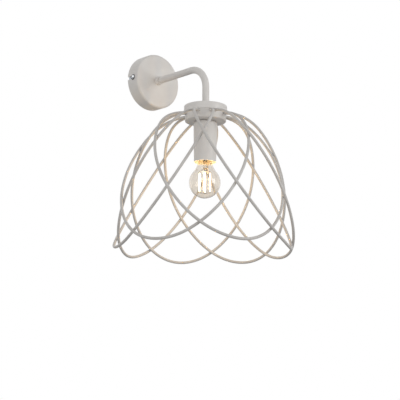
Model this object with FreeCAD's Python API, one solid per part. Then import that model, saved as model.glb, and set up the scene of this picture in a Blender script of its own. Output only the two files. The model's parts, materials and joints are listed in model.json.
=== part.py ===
import FreeCAD, Part
import math
import os

# Cage wall light: a round wall rose, one bent tube as the arm, and a white wire
# cage of eight crossing loops that hangs round a lampholder and its small globe bulb.
#
# Frame: millimetres, +Z up. The wall is the plane Y = 0 and the light stands out of
# it towards -Y. The origin is the centre of the wall bracket's back, at the height
# of the arm. The lamp's own axis is the upright line X = 0, Y = -reach.

V = FreeCAD.Vector

# ---------------------------------------------------------------- driving sizes
# Wall to lamp
reach = 129.0                  # wall to the lamp's upright axis
arm_drop = 60.6                # arm's level centre line down to the top of the hub cap
arm_bend_radius = 33.0         # centre line of the arm's one bend

# Arm tube, M10 lighting tube
tube_diameter = 10.0
tube_wall = 1.0
hole_clearance = 0.1           # radial, tube in every plate that it passes
thread_clearance = 0.05        # radial, tube or screw in its nut, collar or tapped hole

# Rose
rose_diameter = 82.0
rose_depth = 22.0
rose_sheet = 1.0
rose_edge_radius = 3.0
rose_wall_gap = 0.5            # rim stands this far off the wall
rose_collar_diameter = 13.0
rose_collar_length = 6.0

# Wall bracket inside the rose
bracket_thickness = 2.0
bracket_height = 18.0
bracket_ear_depth = 18.0
bracket_ear_gap = 0.6          # ear's corners to the inside of the rose
wall_slot_spacing = 50.0       # centre to centre, along the wall
wall_slot_length = 10.0        # end to end
wall_slot_width = 4.5
cable_hole_diameter = 10.0
earth_screw_offset = 13.0      # from the bracket's centre

# Side screws that hold the rose on the bracket, M4
side_screw_diameter = 4.0
side_screw_depth = 13.0        # from the wall
side_screw_length = 9.0        # under the head
side_screw_head_diameter = 6.6
side_screw_head_height = 2.2
side_washer_diameter = 8.0
side_washer_thickness = 0.6
side_slot_clearance = 0.3      # radial, screw in the rose's open slot
side_seat_gap = 0.1            # flat washer on the round rose

# Nuts and plain washers on the tube
nut_across_flats = 14.0
nut_thickness = 3.0
washer_diameter = 18.0
washer_thickness = 1.0
tag_thickness = 0.8            # earth tag under the rose's nut
tag_width = 6.0
tag_length = 14.0              # tube axis to the middle of the tag's eye
tube_past_nut = 1.0
screw_slot_width = 0.8         # slot of the earth screw, bars of the side screws' cross
screw_slot_depth = 1.0
screw_cross_span = 3.2

# Hub cap, a shallow cup over the top of the cage
cap_diameter = 61.4
cap_height = 10.0
cap_sheet = 1.2
cap_edge_radius = 1.5
cap_collar_diameter = 12.0
cap_collar_length = 4.0

# Cage hub: a hoop that the loops are welded to, and the plate in it
hub_drop = 22.9                # cap's top to the hub's underside
hoop_diameter = 58.8
hoop_thickness = 2.0
hoop_in_cap = 2.0              # hoop stands this far up inside the cap
hoop_edge_radius = 1.5         # its lower outer edge
plate_thickness = 2.0
plate_fit = 0.05               # radial, plate in the hoop
spacer_diameter = 15.0

# Cage loops, round wire. Each loop is one wire, bent to the same shape, with both
# ends welded to the hoop. The eight cross over each other without sharing a place.
loop_count = 8
wire_diameter = 4.0
weave_gap = 0.2                # wire to wire where two loops cross
weave_turn = 15.0              # degrees from a loop's tip to its full weave offset
root_turn = 85.4               # degrees from a loop's middle to each of its ends
root_drop = 2.6                # cap's rim to the wires' centre line at the hoop
root_bite = 0.1                # wire end let into the hoop's face, the weld

# The loop's half curve, from its tip to its root. Lengths are measured from the
# lamp's axis: out along the loop's middle, sideways from it, and down from the
# underside of the hub.
tip_out = 123.5                # the tip, and so the radius of the cage's rim
tip_down = 186.0
tip_level_length = 90.0        # the wire sets off level from the tip, towards this
flank_out = 41.0               # the curve is drawn round to the loop's side
flank_side = 121.5
flank_down = 52.0
shoulder_out = 49.0            # and over the cage's shoulder
shoulder_side = 73.5
shoulder_down = 62.0
root_run = 65.0                # the wire leaves the hoop this straight
root_fall = 6.5                # and falls this much over that run
tip_swing = [-3.5, -2.0, -4.0, -3.5, -3.5, 3.5, 7.0, 6.0]   # degrees, bent by hand

# Sleeve, the cup round the lampholder
sleeve_height = 59.0
sleeve_top_diameter = 33.8
sleeve_rim_diameter = 31.4
sleeve_sheet = 1.0
sleeve_edge_radius = 4.0

# Lampholder for a small Edison screw cap
entry_diameter = 14.0          # threaded entry bush on the tube's end
entry_flange_diameter = 18.0
entry_flange_thickness = 1.5
entry_length = 9.0
entry_nut_gap = 0.5
tube_end_in_entry = 1.5        # tube stops this far above the bush's lower end
holder_diameter = 27.0
holder_above_skirt = 1.0       # holder's rim above the shoulder of the bulb's skirt
holder_edge_radius = 1.5
holder_lead_hole = 11.0
chamber_diameter = 19.0        # hollow for the terminals, over the socket
chamber_roof = 1.0
chamber_height = 9.0
socket_diameter = 16.0
contact_shell_wall = 0.75
contact_shell_length = 14.0
contact_shell_setback = 1.0    # from the holder's rim
shell_fit = 0.05               # radial, shell in the socket
plunger_diameter = 5.0         # sprung contact button
plunger_clearance = 0.1        # radial, button in its guide
plunger_flange_diameter = 6.2  # rests on the guide's ledge
plunger_flange_thickness = 0.8
plunger_stem_diameter = 1.8
plunger_stem_length = 3.0
contact_gap = 0.05             # button to the bulb's tip
guide_height = 7.4             # chamber's floor down to the socket's end wall
guide_above_tip = 2.0          # bulb's tip to the socket's end wall
guide_ledge = 1.2              # thickness of the ledge that holds the button
spring_wire = 0.4
spring_diameter = 3.6          # mean
spring_turns = 5
spring_seat_gap = 0.02
terminal_height = 5.5
live_terminal_x = -1.0
live_terminal_size = 6.0
neutral_terminal_x = 6.25
neutral_terminal_size = 4.5
neutral_bore_x = 5.6
terminal_bore_depth = 1.5
lead_end_gap = 0.1             # lead's end to the bottom of its bore
strap_width = 3.0              # neutral strap down to the threaded shell
strap_thickness = 0.6
strap_lap = 2.0                # strap's end below the shell's top
strap_foot = 1.5
strap_gap = 0.02               # strap to the shell
strap_slot_clearance = 0.1

# Leads and their block in the rose
lead_diameter = 2.2
lead_spread = 1.5              # each lead's middle from the tube's middle
lead_in_block = 3.0            # lead's end below the block's top
lead_fan_start = 1.5           # leads part this far above the tube's end
earth_lead_bend = 5.0
block_width = 26.0
block_height = 14.0
block_depth = 10.0
block_drop = 16.0              # arm's centre line to the block's top
block_off_wall = 5.0
block_pole_pitch = 8.0
block_bore = 2.7
block_tube_diameter = 4.4
block_tube_length = 11.0
block_screw_diameter = 2.5
block_screw_pitch = 6.0
block_screw_length = 3.0
block_screw_hole_clearance = 0.3   # radial, screw's hole in the plastic
block_screw_gap = 0.05         # screw's end to the lead

# Bulb, 45 mm globe with an E14 cap; heights are from the globe's middle
globe_diameter = 45.0
glass_wall = 0.8
neck_start_height = 14.0
neck_diameter = 17.0
neck_top_height = 38.5
skirt_lap = 2.5                # the cap's skirt covers this much of the neck
skirt_roof = 0.4               # skirt's shoulder above the neck's end
skirt_diameter = 18.6
skirt_cone_height = 1.2        # shoulder in to the thread
bulb_thread_diameter = 13.9
bulb_thread_length = 11.4
cap_end_height = 1.0           # thread in to the insulator
insulator_height = 1.7
insulator_diameter = 9.0
bulb_contact_height = 1.3
bulb_contact_diameter = 5.0
cap_sheet_bulb = 0.3
cap_glass_gap = 0.1
filament_count = 4
filament_length = 30.0
filament_diameter = 1.8
filament_circle = 15.0
filament_centre_height = 0.5
stem_diameter = 6.0
stem_tip_height = 19.0
stem_flare_length = 6.0        # where the stem widens, down from the neck's end
stem_foot_length = 1.0
support_wire_diameter = 0.6

# ---------------------------------------------------------------- derived places
tube_radius = tube_diameter / 2
tube_hole = tube_radius + hole_clearance
tube_thread = tube_radius + thread_clearance
lamp_y = -reach
rose_face_y = -rose_wall_gap - rose_depth
rose_inner_y = rose_face_y + rose_sheet
tag_y = rose_inner_y + tag_thickness
rose_washer_y = tag_y + washer_thickness
rose_nut_y = rose_washer_y + nut_thickness
tube_start_y = rose_nut_y + tube_past_nut
rose_inner_radius = rose_diameter / 2 - rose_sheet
ear_x = math.sqrt(rose_inner_radius ** 2 - (bracket_height / 2) ** 2) - bracket_ear_gap
side_screw_y = -side_screw_depth

cap_top = -arm_drop
cap_inner_top = cap_top - cap_sheet
cap_rim = cap_top - cap_height
hub_bottom = cap_top - hub_drop
hoop_top = cap_rim + hoop_in_cap
plate_top = hub_bottom + plate_thickness
root_z = cap_rim - root_drop
weave = wire_diameter + weave_gap

sleeve_inner_top = hub_bottom - sleeve_sheet
lamp_nut_bottom = sleeve_inner_top - nut_thickness
entry_top = lamp_nut_bottom - entry_nut_gap
entry_bottom = entry_top - entry_length
tube_end_z = entry_bottom + tube_end_in_entry
chamber_top = entry_bottom - chamber_roof
chamber_bottom = chamber_top - chamber_height
socket_top = chamber_bottom - guide_height

skirt_top_height = neck_top_height + skirt_roof
thread_start_height = skirt_top_height + skirt_cone_height
thread_top_height = thread_start_height + bulb_thread_length
cap_end = thread_top_height + cap_end_height
insulator_top_height = cap_end + insulator_height
bulb_height = insulator_top_height + bulb_contact_height
bulb_tip_z = socket_top - guide_above_tip
globe_z = bulb_tip_z - bulb_height

holder_top = entry_bottom + entry_flange_thickness
holder_bottom = globe_z + skirt_top_height + holder_above_skirt
plunger_bottom = bulb_tip_z + contact_gap
ledge_top = socket_top + guide_ledge
plunger_top = ledge_top + plunger_flange_thickness
socket_radius = socket_diameter / 2
contact_shell_radius = socket_radius - shell_fit
contact_shell_bottom = holder_bottom + contact_shell_setback
contact_shell_top = contact_shell_bottom + contact_shell_length
terminal_bottom = chamber_bottom
terminal_top = terminal_bottom + terminal_height
block_top = -block_drop
block_y = -block_off_wall - block_depth / 2


# ---------------------------------------------------------------- small helpers
def cylinder(radius, length, base, axis):
    return Part.makeCylinder(radius, length, base, axis)


def ring(outer, inner, z_low, z_high):
    """Round ring about the lamp's axis."""
    base = V(0, lamp_y, z_low)
    height = z_high - z_low
    solid = cylinder(outer, height, base, V(0, 0, 1))
    return solid.cut(cylinder(inner, height, base, V(0, 0, 1)))


def hexagon(base, across_flats, length, level):
    """Six-sided bar upwards from its base, or level towards the lamp."""
    corner = across_flats / math.sqrt(3)
    points = []
    for i in range(7):
        angle = math.radians(60 * i + 30)
        points.append(V(corner * math.cos(angle), corner * math.sin(angle), 0))
    bar = Part.Face(Part.makePolygon(points)).extrude(V(0, 0, length))
    if level:
        bar.rotate(V(0, 0, 0), V(1, 0, 0), 90)
    bar.translate(base)
    return bar


def turned(profile, centre, level):
    """Solid of revolution; its axis is upright, or level with the top to the lamp."""
    solid = Part.Face(profile).revolve(V(0, 0, 0), V(0, 0, 1), 360)
    if level:
        solid.rotate(V(0, 0, 0), V(1, 0, 0), 90)
    solid.translate(centre)
    return solid


def cup_profile(radius, rim_radius, height, sheet, edge, hole):
    """Half section of an open cup: base at Z = 0, mouth at Z = -height."""
    inner_edge = edge - sheet
    cos45 = math.sqrt(0.5)
    top = V(hole, 0, 0)
    a = V(radius - edge, 0, 0)
    am = V(radius - edge + edge * cos45, 0, -edge + edge * cos45)
    b = V(radius, 0, -edge)
    c = V(rim_radius, 0, -height)
    d = V(rim_radius - sheet, 0, -height)
    e = V(radius - sheet, 0, -edge)
    em = V(radius - edge + inner_edge * cos45, 0, -edge + inner_edge * cos45)
    f = V(radius - edge, 0, -sheet)
    g = V(hole, 0, -sheet)
    edges = [
        Part.makeLine(top, a),
        Part.Arc(a, am, b).toShape(),
        Part.makeLine(b, c),
        Part.makeLine(c, d),
        Part.makeLine(d, e),
        Part.Arc(e, em, f).toShape(),
        Part.makeLine(f, g),
        Part.makeLine(g, top),
    ]
    return Part.Wire(edges)


def arc_edge(start, tangent, end):
    """Arc, or a line where it is straight, that leaves start along tangent."""
    chord = end - start
    along = V(chord).normalize()
    side = tangent - along * tangent.dot(along)
    if side.Length < 1e-5:
        return Part.makeLine(start, end)
    angle = math.atan2(side.Length, tangent.dot(along))
    bulge = V(side).normalize() * (chord.Length / 2 * math.tan(angle / 2))
    return Part.Arc(start, (start + end) * 0.5 + bulge, end).toShape()


def biarc(p0, t0, p1, t1):
    """Two arcs that meet smoothly and join two points along two directions."""
    v = p1 - p0
    vt = v.dot(t0 + t1)
    spread = 2 * (1 - t0.dot(t1))
    if spread < 1e-9:
        reach_out = v.dot(v) / (2 * vt)
    else:
        reach_out = (-vt + math.sqrt(vt * vt + spread * v.dot(v))) / spread
    middle = (p0 + p1 + (t0 - t1) * reach_out) * 0.5
    back = arc_edge(p1, t1 * -1, middle)
    first = arc_edge(p0, t0, middle)
    return [first, back]


def smooth_path(points, tangents):
    edges = []
    for i in range(len(points) - 1):
        edges += biarc(points[i], tangents[i], points[i + 1], tangents[i + 1])
    return Part.Wire(Part.__sortEdges__(edges))


def tightest_bend(path):
    """Least radius of the arcs in a path."""
    return min(e.Curve.Radius for e in path.Edges if hasattr(e.Curve, "Radius"))


def swept(path, start, direction, radius):
    """Round bar along a path."""
    section = Part.Wire(Part.makeCircle(radius, start, direction))
    return Part.Wire(path).makePipeShell([section], True, False)


# ---------------------------------------------------------------- wall side
def wall_bracket():
    """Steel strip across the wall with an ear bent forward at each end."""
    half = bracket_height / 2
    strip = Part.makeBox(
        2 * ear_x, bracket_thickness, bracket_height, V(-ear_x, -bracket_thickness, -half))
    solid = strip
    for side in (-1, 1):
        low_x = min(side * ear_x, side * (ear_x - bracket_thickness))
        ear = Part.makeBox(
            bracket_thickness, bracket_ear_depth, bracket_height,
            V(low_x, -bracket_ear_depth, -half))
        solid = solid.fuse(ear)
    solid = solid.removeSplitter()
    hole_radius = side_screw_diameter / 2 + thread_clearance
    solid = solid.cut(cylinder(
        hole_radius, 2 * ear_x, V(-ear_x, side_screw_y, 0), V(1, 0, 0)))
    solid = solid.cut(cylinder(
        cable_hole_diameter / 2, bracket_thickness, V(0, -bracket_thickness, 0), V(0, 1, 0)))
    solid = solid.cut(cylinder(
        hole_radius, bracket_thickness, V(earth_screw_offset, -bracket_thickness, 0),
        V(0, 1, 0)))
    straight = wall_slot_length - wall_slot_width
    for side in (-1, 1):
        x = side * wall_slot_spacing / 2
        slot = Part.makeBox(
            straight, bracket_thickness, wall_slot_width,
            V(x - straight / 2, -bracket_thickness, -wall_slot_width / 2))
        for end in (-1, 1):
            slot = slot.fuse(cylinder(
                wall_slot_width / 2, bracket_thickness,
                V(x + end * straight / 2, -bracket_thickness, 0), V(0, 1, 0)))
        solid = solid.cut(slot)
    return solid


def earth_screw():
    """Brass screw with a round head for the supply's earth wire."""
    shank = cylinder(
        side_screw_diameter / 2, bracket_thickness + washer_thickness,
        V(earth_screw_offset, 0, 0), V(0, -1, 0))
    head_y = -bracket_thickness - washer_thickness
    head = cylinder(
        side_screw_head_diameter / 2, side_screw_head_height,
        V(earth_screw_offset, head_y, 0), V(0, -1, 0))
    slot = Part.makeBox(
        side_screw_head_diameter, screw_slot_depth, screw_slot_width,
        V(earth_screw_offset - side_screw_head_diameter / 2,
          head_y - side_screw_head_height, -screw_slot_width / 2))
    return shank.fuse(head).removeSplitter().cut(slot)


def earth_washer():
    base = V(earth_screw_offset, -bracket_thickness, 0)
    solid = cylinder(side_screw_head_diameter / 2 + 1.0, washer_thickness, base, V(0, -1, 0))
    hole = side_screw_diameter / 2 + thread_clearance
    return solid.cut(cylinder(hole, washer_thickness, base, V(0, -1, 0)))


def side_screw(side):
    """Domed cross-head screw through the rose's side into the bracket's ear."""
    seat = side * (rose_diameter / 2 + side_seat_gap + side_washer_thickness)
    base = V(seat, side_screw_y, 0)
    inward = V(-side, 0, 0)
    outward = V(side, 0, 0)
    shank = cylinder(side_screw_diameter / 2, side_screw_length, base, inward)
    head_radius = side_screw_head_diameter / 2
    height = side_screw_head_height
    dome_radius = (head_radius ** 2 + height ** 2) / (2 * height)
    dome = Part.makeSphere(dome_radius, base + outward * (height - dome_radius))
    head = cylinder(head_radius, height, base, outward).common(dome)
    solid = shank.fuse(head).removeSplitter()
    top = seat + side * height
    low = min(top, top - side * screw_slot_depth)
    span = screw_cross_span
    bar = screw_slot_width
    for wide, high in ((span, bar), (bar, span)):
        recess = Part.makeBox(
            screw_slot_depth, wide, high, V(low, side_screw_y - wide / 2, -high / 2))
        solid = solid.cut(recess)
    return solid


def side_washer(side):
    base = V(side * (rose_diameter / 2 + side_seat_gap), side_screw_y, 0)
    outward = V(side, 0, 0)
    solid = cylinder(side_washer_diameter / 2, side_washer_thickness, base, outward)
    hole = side_screw_diameter / 2 + thread_clearance
    return solid.cut(cylinder(hole, side_washer_thickness, base, outward))


def rose_cover():
    """Round steel cup over the bracket, with a slot open to the wall at each side."""
    profile = cup_profile(
        rose_diameter / 2, rose_diameter / 2, rose_depth, rose_sheet, rose_edge_radius,
        tube_hole)
    solid = turned(profile, V(0, rose_face_y, 0), True)
    radius = side_screw_diameter / 2 + side_slot_clearance
    for side in (-1, 1):
        start = V(side * (rose_inner_radius - 1), side_screw_y, 0)
        slot = cylinder(radius, rose_sheet + 2, start, V(side, 0, 0))
        low_x = min(start.x, start.x + side * (rose_sheet + 2))
        slot = slot.fuse(Part.makeBox(
            rose_sheet + 2, side_screw_depth, 2 * radius, V(low_x, side_screw_y, -radius)))
        solid = solid.cut(slot)
    return solid


def on_arm(outer, length, y_low):
    """Plain ring on the arm's level run, from y_low towards the wall."""
    solid = cylinder(outer, length, V(0, y_low, 0), V(0, 1, 0))
    return solid.cut(cylinder(tube_thread, length, V(0, y_low, 0), V(0, 1, 0)))


def rose_collar():
    return on_arm(rose_collar_diameter / 2, rose_collar_length,
                  rose_face_y - rose_collar_length)


def earth_tag():
    """Ring tag under the rose's nut; its eye takes the earth lead."""
    eye_radius = tag_width / 2
    solid = cylinder(washer_diameter / 2, tag_thickness, V(0, rose_inner_y, 0), V(0, 1, 0))
    solid = solid.fuse(Part.makeBox(
        tag_length, tag_thickness, tag_width, V(0, rose_inner_y, -eye_radius)))
    solid = solid.fuse(cylinder(
        eye_radius, tag_thickness, V(tag_length, rose_inner_y, 0), V(0, 1, 0)))
    solid = solid.removeSplitter()
    return solid.cut(cylinder(tube_hole, tag_thickness, V(0, rose_inner_y, 0), V(0, 1, 0)))


def rose_washer():
    return on_arm(washer_diameter / 2, washer_thickness, tag_y)


def rose_nut():
    bar = hexagon(V(0, rose_nut_y, 0), nut_across_flats, nut_thickness, True)
    return bar.cut(cylinder(
        tube_thread, nut_thickness, V(0, rose_washer_y, 0), V(0, 1, 0)))


# ---------------------------------------------------------------- arm
def arm_path(offset, start_y, end_z):
    """Level run, one bend and drop; offset is upwards on the level run."""
    centre_y = lamp_y + arm_bend_radius
    radius = arm_bend_radius + offset
    a = V(0, start_y, offset)
    b = V(0, centre_y, offset)
    cos45 = math.sqrt(0.5)
    m = V(0, centre_y - radius * cos45, -arm_bend_radius + radius * cos45)
    c = V(0, lamp_y - offset, -arm_bend_radius)
    d = V(0, lamp_y - offset, end_z)
    return [Part.makeLine(a, b), Part.Arc(b, m, c).toShape(), Part.makeLine(c, d)]


def arm_tube():
    path = Part.Wire(arm_path(0, tube_start_y, tube_end_z))
    start = V(0, tube_start_y, 0)
    outer = swept(path, start, V(0, -1, 0), tube_radius)
    inner = swept(path, start, V(0, -1, 0), tube_radius - tube_wall)
    return outer.cut(inner)


def cap_collar():
    return ring(cap_collar_diameter / 2, tube_thread, cap_top, cap_top + cap_collar_length)


# ---------------------------------------------------------------- hub and cage
def hub_cap():
    profile = cup_profile(
        cap_diameter / 2, cap_diameter / 2, cap_height, cap_sheet, cap_edge_radius, tube_hole)
    return turned(profile, V(0, lamp_y, cap_top), False)


def hub_spacer():
    return ring(spacer_diameter / 2, tube_hole, plate_top, cap_inner_top)


def cage_hoop():
    """Hoop that carries the loops, rounded where its lower edge shows."""
    outer = on_lamp(hoop_diameter / 2, hub_bottom, hoop_top)
    low_edges = [e for e in outer.Edges if e.Closed and e.BoundBox.ZMax < hub_bottom + 0.5]
    outer = outer.makeFillet(hoop_edge_radius, low_edges)
    return outer.cut(on_lamp(hoop_diameter / 2 - hoop_thickness, hub_bottom, hoop_top))


def cage_plate():
    radius = hoop_diameter / 2 - hoop_thickness - plate_fit
    return ring(radius, tube_hole, hub_bottom, plate_top)


def half_loop(t):
    """Point of the loop's half curve, t = 0 at the tip and 1 at the hoop."""
    root_out = (hoop_diameter / 2 - root_bite)
    angle = math.radians(root_turn)
    leave = root_out + root_run
    control = [
        (tip_out, 0, hub_bottom - tip_down),
        (tip_out, tip_level_length, hub_bottom - tip_down),
        (flank_out, flank_side, hub_bottom - flank_down),
        (shoulder_out, shoulder_side, hub_bottom - shoulder_down),
        (leave * math.cos(angle), leave * math.sin(angle), root_z - root_fall),
        (root_out * math.cos(angle), root_out * math.sin(angle), root_z),
    ]
    order = len(control) - 1
    point = V(0, 0, 0)
    for i in range(order + 1):
        share = math.comb(order, i) * t ** i * (1 - t) ** (order - i)
        point = point + V(*control[i]) * share
    return point


def loop_point(u, swing):
    """Point of the whole loop, u from -1 to 1, with its weave and its swing."""
    t = abs(u)
    step = 1e-4
    p = half_loop(t)
    q = half_loop(min(t + step, 1.0))
    o = half_loop(max(t - step, 0.0))
    radius = math.hypot(p.x, p.y)
    angle = math.atan2(p.y, p.x)
    rise = q.z - o.z
    run = math.hypot(q.x, q.y) - math.hypot(o.x, o.y)
    length = math.hypot(rise, run)
    turned_in = math.degrees(angle)
    lift = min(turned_in / weave_turn, (root_turn - turned_in) / (root_turn / 8), 1.0)
    lift = weave / 2 * math.sin(math.pi / 2 * max(lift, 0.0))
    if u > 0:
        lift = -lift
    if length > 1e-9:
        radius = radius + lift * rise / length
        height = p.z - lift * run / length
    else:
        height = p.z
    direction = math.copysign(angle, u) + math.radians(swing) * (1 - t)
    return V(radius * math.cos(direction), radius * math.sin(direction), height)


def cage_loop(index):
    """One loop of round wire, cut to the hoop at both ends."""
    stations = 24
    points = []
    tangents = []
    swing = tip_swing[index]
    for i in range(stations + 1):
        u = -1 + 2 * i / stations
        before = loop_point(max(u - 1e-3, -1), swing)
        after = loop_point(min(u + 1e-3, 1), swing)
        points.append(loop_point(u, swing))
        tangents.append((after - before).normalize())
    path = smooth_path(points, tangents)
    solid = swept(path, points[0], tangents[0], wire_diameter / 2)
    turn = 360 / loop_count * (index + 0.5)
    solid.rotate(V(0, 0, 0), V(0, 0, 1), turn)
    solid.translate(V(0, lamp_y, 0))
    return solid


# ---------------------------------------------------------------- lampholder
def sleeve():
    profile = cup_profile(
        sleeve_top_diameter / 2, sleeve_rim_diameter / 2, sleeve_height, sleeve_sheet,
        sleeve_edge_radius, tube_hole)
    return turned(profile, V(0, lamp_y, hub_bottom), False)


def lamp_nut():
    bar = hexagon(V(0, lamp_y, lamp_nut_bottom), nut_across_flats, nut_thickness, False)
    return bar.cut(cylinder(
        tube_thread, nut_thickness, V(0, lamp_y, lamp_nut_bottom), V(0, 0, 1)))


def holder_entry():
    """Threaded bush on the tube's end, with the flange that carries the holder."""
    solid = ring(entry_diameter / 2, tube_thread, entry_bottom, entry_top)
    flange = ring(
        entry_flange_diameter / 2, tube_thread, entry_bottom,
        entry_bottom + entry_flange_thickness)
    return solid.fuse(flange).removeSplitter()


def on_lamp(radius, z_low, z_high):
    """Round bar on the lamp's axis."""
    return cylinder(radius, z_high - z_low, V(0, lamp_y, z_low), V(0, 0, 1))


def holder_body():
    """Ceramic body: socket below, guide and terminal chamber above."""
    solid = on_lamp(holder_diameter / 2, holder_bottom, holder_top)
    rims = [e for e in solid.Edges if e.Closed]
    solid = solid.makeFillet(holder_edge_radius, rims)
    button_hole = plunger_diameter / 2 + plunger_clearance
    flange_hole = plunger_flange_diameter / 2 + plunger_clearance
    hollows = [
        on_lamp(entry_flange_diameter / 2 + hole_clearance, entry_bottom, holder_top),
        on_lamp(holder_lead_hole / 2, chamber_top, entry_bottom),
        on_lamp(chamber_diameter / 2, chamber_bottom, chamber_top),
        on_lamp(flange_hole, ledge_top, chamber_bottom),
        on_lamp(button_hole, socket_top, ledge_top),
        on_lamp(socket_radius, holder_bottom, socket_top),
    ]
    for hollow in hollows:
        solid = solid.cut(hollow)
    slot_low = contact_shell_top - strap_lap - 1.0
    slot_width = strap_width + 2 * strap_slot_clearance
    slot = Part.makeBox(
        strap_gap + strap_thickness + strap_slot_clearance, slot_width,
        chamber_bottom - slot_low,
        V(contact_shell_radius, lamp_y - slot_width / 2, slot_low))
    return solid.cut(slot)


def contact_shell():
    """Brass shell that the bulb's cap screws into."""
    return ring(
        contact_shell_radius, contact_shell_radius - contact_shell_wall,
        contact_shell_bottom, contact_shell_top)


def centre_contact():
    """Sprung brass button that presses on the bulb's tip; its flange rests on the ledge."""
    button = on_lamp(plunger_diameter / 2, plunger_bottom, ledge_top)
    flange = on_lamp(plunger_flange_diameter / 2, ledge_top, plunger_top)
    stem = on_lamp(plunger_stem_diameter / 2, plunger_top, plunger_top + plunger_stem_length)
    return button.fuse(flange).fuse(stem).removeSplitter()


def contact_spring():
    """Coil spring between the button's flange and the live terminal."""
    radius = spring_diameter / 2
    low = plunger_top + spring_wire / 2 + spring_seat_gap
    high = terminal_bottom - spring_wire / 2 - spring_seat_gap
    quarters = 4 * spring_turns
    points = []
    tangents = []
    pitch = (high - low) / spring_turns
    for i in range(quarters + 1):
        angle = math.pi / 2 * i
        z = low + (high - low) * i / quarters
        points.append(V(radius * math.cos(angle), radius * math.sin(angle) + lamp_y, z))
        slope = V(-math.sin(angle), math.cos(angle), pitch / (2 * math.pi * radius))
        tangents.append(slope.normalize())
    print("contact_spring: gap between turns %.2f mm" % (pitch - spring_wire))
    path = smooth_path(points, tangents)
    return swept(path, points[0], tangents[0], spring_wire / 2)


def terminal(x, size, bore_x):
    """Brass block on the chamber's floor, with a bore for its lead."""
    block = Part.makeBox(
        size, size, terminal_height, V(x - size / 2, lamp_y - size / 2, terminal_bottom))
    return block.cut(cylinder(
        lead_diameter / 2 + hole_clearance, terminal_bore_depth,
        V(bore_x, lamp_y, terminal_top - terminal_bore_depth), V(0, 0, 1)))


def live_terminal():
    """Brass block that the contact spring seats against."""
    return terminal(live_terminal_x, live_terminal_size, -lead_spread)


def neutral_terminal():
    """Brass block with the strap that runs down beside the threaded shell."""
    block = terminal(neutral_terminal_x, neutral_terminal_size, neutral_bore_x)
    inner = contact_shell_radius + strap_gap
    low = contact_shell_top - strap_lap
    strap = Part.makeBox(
        strap_thickness, strap_width, terminal_bottom + strap_foot - low,
        V(inner, lamp_y - strap_width / 2, low))
    foot = Part.makeBox(
        inner - neutral_terminal_x, strap_width, strap_foot,
        V(neutral_terminal_x, lamp_y - strap_width / 2, terminal_bottom))
    return block.fuse(foot).fuse(strap).removeSplitter()


# ---------------------------------------------------------------- leads
def block_pole_x(pole):
    return (pole - 1) * block_pole_pitch


def tube_lead(name, x, pole, end_x):
    """Insulated lead: block in the rose, through the arm, terminal in the lampholder."""
    up = V(0, 0, 1)
    down = V(0, 0, -1)
    along = V(0, -1, 0)
    pole_x = block_pole_x(pole)
    turn = block_y - tube_start_y
    start = V(pole_x, block_y, block_top - lead_in_block)
    top = [start, V(pole_x, block_y, block_top), V(x, block_y, -turn), V(x, tube_start_y, 0)]
    first = smooth_path(top, [up, up, up, along])
    fan = tube_end_z + lead_fan_start
    middle = []
    for edge in arm_path(0, tube_start_y, fan):
        moved = edge.copy()
        moved.translate(V(x, 0, 0))
        middle.append(moved)
    end = terminal_top - terminal_bore_depth + lead_end_gap
    foot = [V(x, lamp_y, fan), V(end_x, lamp_y, terminal_top), V(end_x, lamp_y, end)]
    last = smooth_path(foot, [down, down, down])
    path = Part.Wire(list(first.Edges) + middle + list(last.Edges))
    print("%s: tightest bend radius %.1f mm" % (name, tightest_bend(path)))
    return swept(path, start, up, lead_diameter / 2)


def earth_lead():
    """Short lead from the tag's eye to the block's third pole."""
    down = V(0, 0, -1)
    out = V(0, 1, 0)
    pole_x = block_pole_x(2)
    points = [
        V(tag_length, tag_y, 0),
        V(tag_length, block_y - earth_lead_bend, 0),
        V(tag_length, block_y, -earth_lead_bend),
        V(pole_x, block_y, block_top),
        V(pole_x, block_y, block_top - lead_in_block),
    ]
    path = smooth_path(points, [out, out, down, down, down])
    print("earth_lead: tightest bend radius %.1f mm" % tightest_bend(path))
    return swept(path, points[0], out, lead_diameter / 2)


def terminal_block():
    """Three-pole connector block behind the rose's face."""
    solid = Part.makeBox(
        block_width, block_depth, block_height,
        V(-block_width / 2, -block_off_wall - block_depth, block_top - block_height))
    for pole in range(3):
        x = block_pole_x(pole)
        solid = solid.cut(cylinder(
            block_tube_diameter / 2 + hole_clearance, block_height,
            V(x, block_y, block_top - block_height), V(0, 0, 1)))
        for z in block_screw_heights():
            solid = solid.cut(cylinder(
                block_screw_diameter / 2 + block_screw_hole_clearance, block_depth / 2,
                V(x, block_y, z), V(0, 1, 0)))
    return solid


def block_screw_heights():
    middle = block_top - block_height / 2
    return (middle - block_screw_pitch / 2, middle + block_screw_pitch / 2)


def block_tubes():
    """The three brass tubes in the block."""
    low = block_top - block_height / 2 - block_tube_length / 2
    tubes = []
    for pole in range(3):
        base = V(block_pole_x(pole), block_y, low)
        tube = cylinder(block_tube_diameter / 2, block_tube_length, base, V(0, 0, 1))
        tube = tube.cut(cylinder(block_bore / 2, block_tube_length, base, V(0, 0, 1)))
        for z in block_screw_heights():
            tube = tube.cut(cylinder(
                block_screw_diameter / 2 + thread_clearance, block_depth / 2,
                V(block_pole_x(pole), block_y, z), V(0, 1, 0)))
        tubes.append(tube)
    return Part.makeCompound(tubes)


def block_screws():
    """The six clamping screws of the block, run down on the leads."""
    screws = []
    for pole in range(3):
        for z in block_screw_heights():
            start = V(block_pole_x(pole), block_y + lead_diameter / 2 + block_screw_gap, z)
            screws.append(cylinder(
                block_screw_diameter / 2, block_screw_length, start, V(0, 1, 0)))
    return Part.makeCompound(screws)


# ---------------------------------------------------------------- bulb
def at_globe(radius, height):
    return V(radius, 0, height)


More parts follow.
